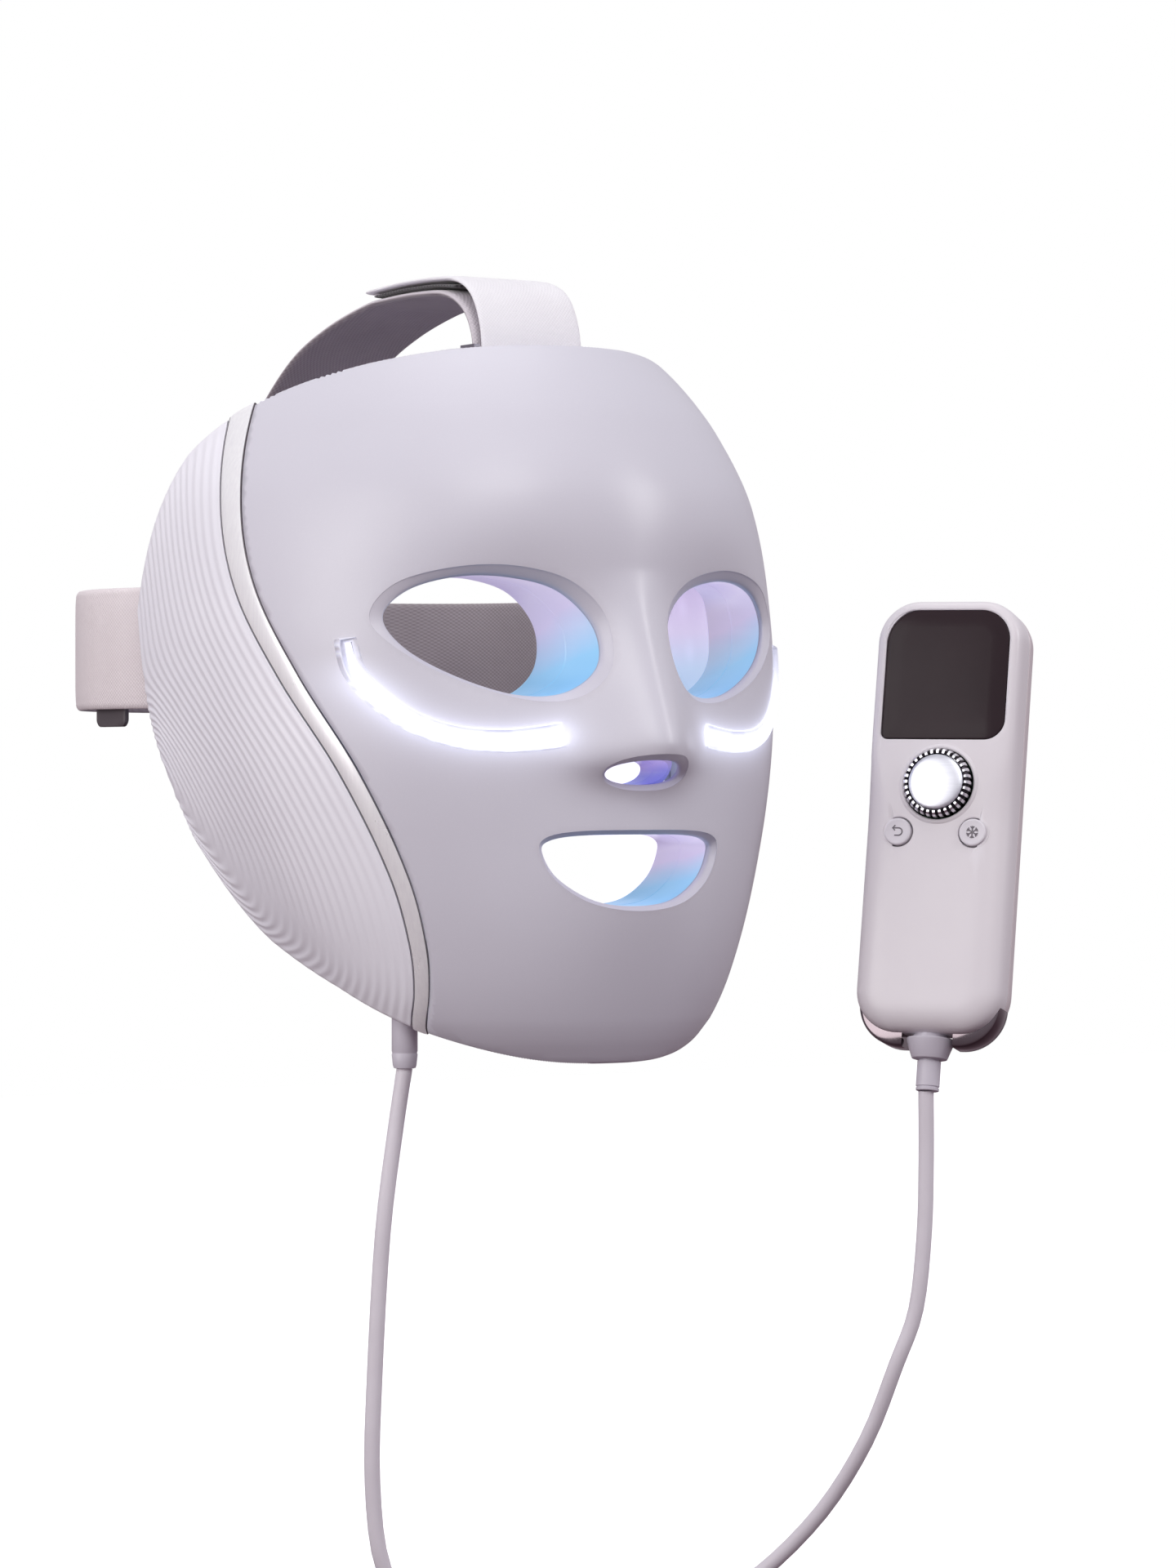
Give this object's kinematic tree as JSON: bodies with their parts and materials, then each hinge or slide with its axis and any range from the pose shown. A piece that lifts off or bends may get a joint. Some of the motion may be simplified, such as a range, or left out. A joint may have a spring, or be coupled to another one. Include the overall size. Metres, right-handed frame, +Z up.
{
  "type": "led face mask",
  "caption": "Full-face light therapy mask with ribbed sides, metal trim, lit eye, nose and mouth openings, head straps, and a corded handset with a screen, dial and buttons.",
  "frame": {"origin": "at the bridge of the wearer's nose, on the inner face of the liner", "axes": "+Y back into the wearer's head, face looks along -Y, +Z up, +X to the wearer's left"},
  "size_m": [0.2285, 0.2761, 0.4225],
  "materials": {
    "shell_satin": "satin pearl, fine flake",
    "ribbed_panel": "satin, moulded ribs",
    "trim_metal": "satin brushed",
    "liner": "fine matte",
    "rim_silicone": "soft matte",
    "light_guide": "translucent, lit from within",
    "light_bar": "lit diffuser",
    "circuit_board": "solder mask",
    "led": "lens",
    "cold_metal": "polished",
    "ceramic": "fired",
    "heat_sink": "extruded",
    "fan_plastic": "moulded",
    "pad_silicone": "soft matte",
    "screw_steel": "machined",
    "cord_jacket": "satin jacket",
    "anchor_metal": "machined",
    "strap_dark": "fine knit",
    "strap_light": "fine woven",
    "hook_fabric": "hook and loop",
    "strap_warm": "woven elastic",
    "anchor_plastic": "moulded",
    "slider_plastic": "moulded",
    "handset_shell": "satin",
    "polished_trim": "polished",
    "screen_glass": "gloss",
    "dial_metal": "knurled",
    "handset_key": "satin",
    "battery_wrap": "film"
  },
  "bodies": {
    "root": {"front_shell": "shell_satin", "side_panel_right": "ribbed_panel", "side_panel_left": "ribbed_panel", "trim_strip_right": "trim_metal", "trim_strip_left": "trim_metal", "inner_liner": "liner", "edge_rim": "rim_silicone", "eye_tunnel_right": "light_guide", "eye_tunnel_left": "light_guide", "nose_tunnel": "light_guide", "mouth_tunnel": "light_guide", "light_bar_right": "light_bar", "light_bar_left": "light_bar", "led_board_forehead": "circuit_board", "led_board_right": "circuit_board", "led_board_left": "circuit_board", "led_board_chin": "circuit_board", "leds": "led", "cold_plate_right": "cold_metal", "cold_plate_left": "cold_metal", "peltiers": "ceramic", "heat_sinks": "heat_sink", "fan_housing_right": "fan_plastic", "fan_housing_left": "fan_plastic", "main_board": "circuit_board", "forehead_pad": "pad_silicone", "mask_screws": "screw_steel", "mask_gland": "cord_jacket", "top_anchor": "anchor_metal", "top_strap": "strap_dark", "strap_flap": "strap_light", "hook_patch": "hook_fabric", "rear_strap": "strap_warm", "side_anchors": "anchor_plastic", "strap_sliders": "slider_plastic", "remote_front": "handset_shell", "remote_back": "handset_shell", "tail_trim": "polished_trim", "screen_window": "screen_glass", "display_module": "screen_glass", "dial_encoder": "fan_plastic", "button_switches": "fan_plastic", "remote_board": "circuit_board", "battery": "battery_wrap", "usb_port": "screw_steel", "remote_gland": "cord_jacket", "remote_screws": "screw_steel", "cord_mask_run": "cord_jacket", "cord_coil": "cord_jacket", "cord_remote_run": "cord_jacket", "cord_tie": "hook_fabric"},
    "dial": {"dial_ring": "dial_metal"},
    "dial_push": {"dial_cap": "polished_trim"},
    "back_key": {"back_button": "handset_key"},
    "cool_key": {"cool_button": "handset_key"},
    "fan_right": {"fan_impeller_right": "fan_plastic"},
    "fan_left": {"fan_impeller_left": "fan_plastic"}
  },
  "joints": [
    {"name": "dial_turn", "type": "hinge", "parent": "root", "child": "dial", "pos_m": [0.0986, -0.04349, -0.04575], "axis": [-0.7801, -0.5901, 0.2079], "continuous": true},
    {"name": "dial_press", "type": "slide", "parent": "dial", "child": "dial_push", "axis": [0.7801, 0.5901, -0.2079], "range_m": [0, 0.0008], "stiffness_N_per_m": 500},
    {"name": "back_press", "type": "slide", "parent": "root", "child": "back_key", "axis": [0.7801, 0.5901, -0.2079], "range_m": [0, 0.0006], "stiffness_N_per_m": 500},
    {"name": "cool_press", "type": "slide", "parent": "root", "child": "cool_key", "axis": [0.7801, 0.5901, -0.2079], "range_m": [0, 0.0006], "stiffness_N_per_m": 500},
    {"name": "fan_right_spin", "type": "hinge", "parent": "root", "child": "fan_right", "pos_m": [-0.04288, -0.00814, -0.046], "axis": [0.515, 0.8572, 0], "continuous": true},
    {"name": "fan_left_spin", "type": "hinge", "parent": "root", "child": "fan_left", "pos_m": [0.04288, -0.00814, -0.046], "axis": [-0.515, 0.8572, 0], "continuous": true}
  ]
}
